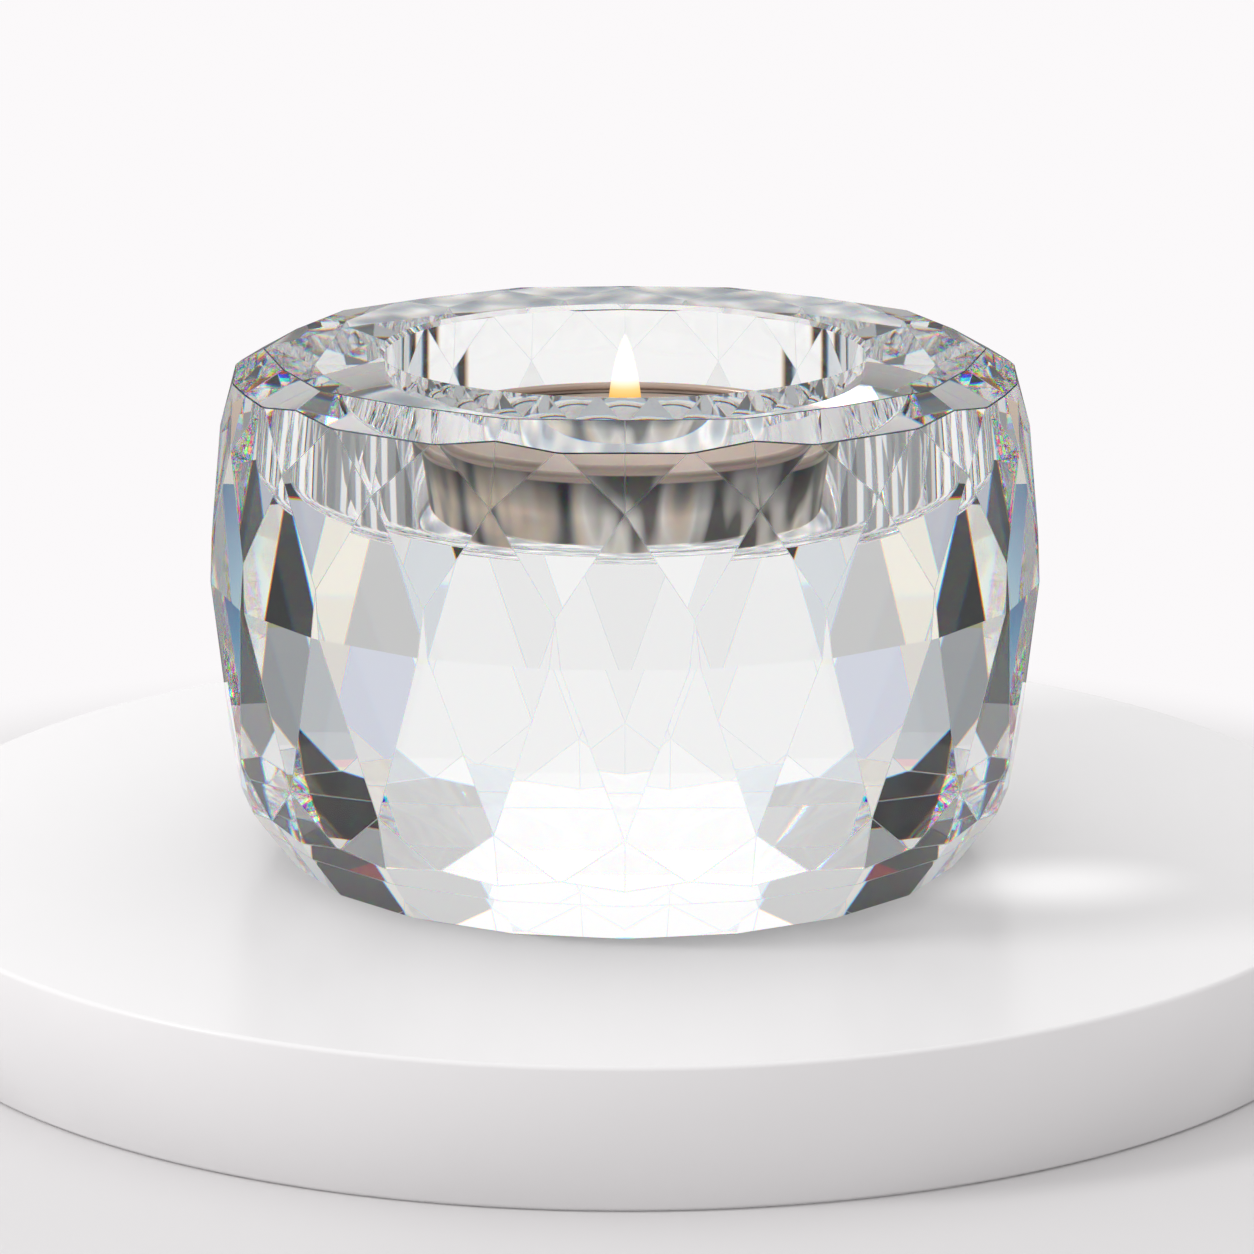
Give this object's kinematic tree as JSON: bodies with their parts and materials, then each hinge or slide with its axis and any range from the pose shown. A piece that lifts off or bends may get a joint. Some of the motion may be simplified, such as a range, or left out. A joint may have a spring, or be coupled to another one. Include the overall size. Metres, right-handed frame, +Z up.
{
  "type": "tealight holder",
  "caption": "Solid clear barrel cut all round in rows of flat facets, with a round well in its flat top that holds a lift-out tealight.",
  "frame": {"origin": "middle of the base, on the surface that the holder stands on", "axes": "+Z up along the axis of the barrel and the well; -Y is the front, where the middle of one edge of the flat top faces"},
  "size_m": [0.0712, 0.0712, 0.0437],
  "materials": {
    "crystal": "polished clear crystal",
    "cup": "thin bright drawn foil",
    "wax": "smooth satin paraffin wax",
    "wick_holder": "tinned steel",
    "wick": "charred cotton braid"
  },
  "bodies": {
    "crystal": {"crystal_body": "crystal"},
    "tealight": {"tealight_cup": "cup", "wax": "wax", "wick_holder": "wick_holder", "wick": "wick"}
  },
  "joints": [
    {"name": "tealight_lift", "type": "slide", "parent": "crystal", "child": "tealight", "axis": [0, 0, 1], "range_m": [0, 0.02]}
  ]
}
